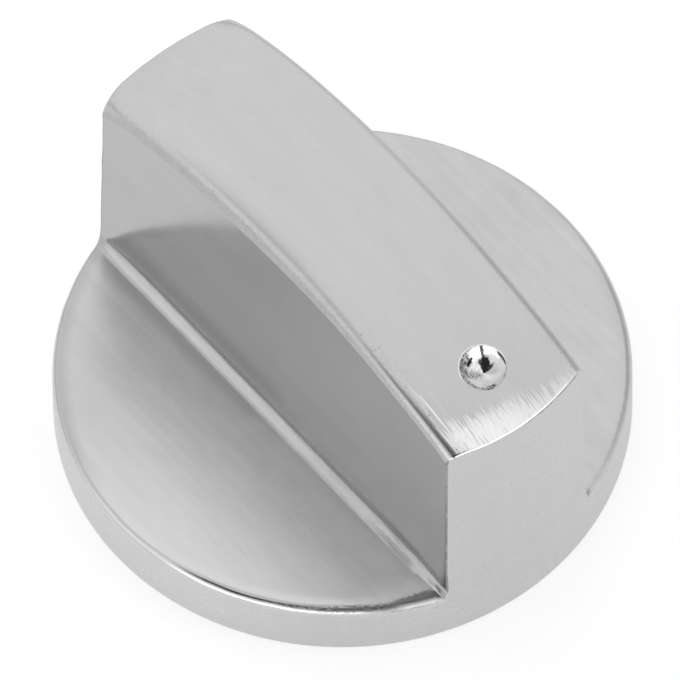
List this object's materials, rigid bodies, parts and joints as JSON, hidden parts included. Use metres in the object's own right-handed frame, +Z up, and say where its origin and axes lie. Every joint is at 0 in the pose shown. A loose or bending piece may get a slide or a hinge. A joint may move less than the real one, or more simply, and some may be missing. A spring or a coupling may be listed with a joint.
{
  "type": "stove knob",
  "caption": "Round metal gas-stove knob with a bar grip across it, a pointer dimple, a hollow underside and a sprung D-bore for the valve stem.",
  "frame": {"origin": "on the knob's turning axis, level with the foot that it stands on", "axes": "+Z up the turning axis from the foot to the crown of the grip; +Y along the grip towards the end with the pointer dimple; +X across the grip"},
  "size_m": [0.04, 0.04, 0.0251],
  "materials": {
    "body": "zinc die casting, brushed along the grip and round the wall, then plated satin nickel; the dimple is left bright",
    "spring": "plain rolled spring steel strip"
  },
  "bodies": {
    "root": {"knob_body": "body", "shaft_spring": "spring"}
  },
  "joints": []
}
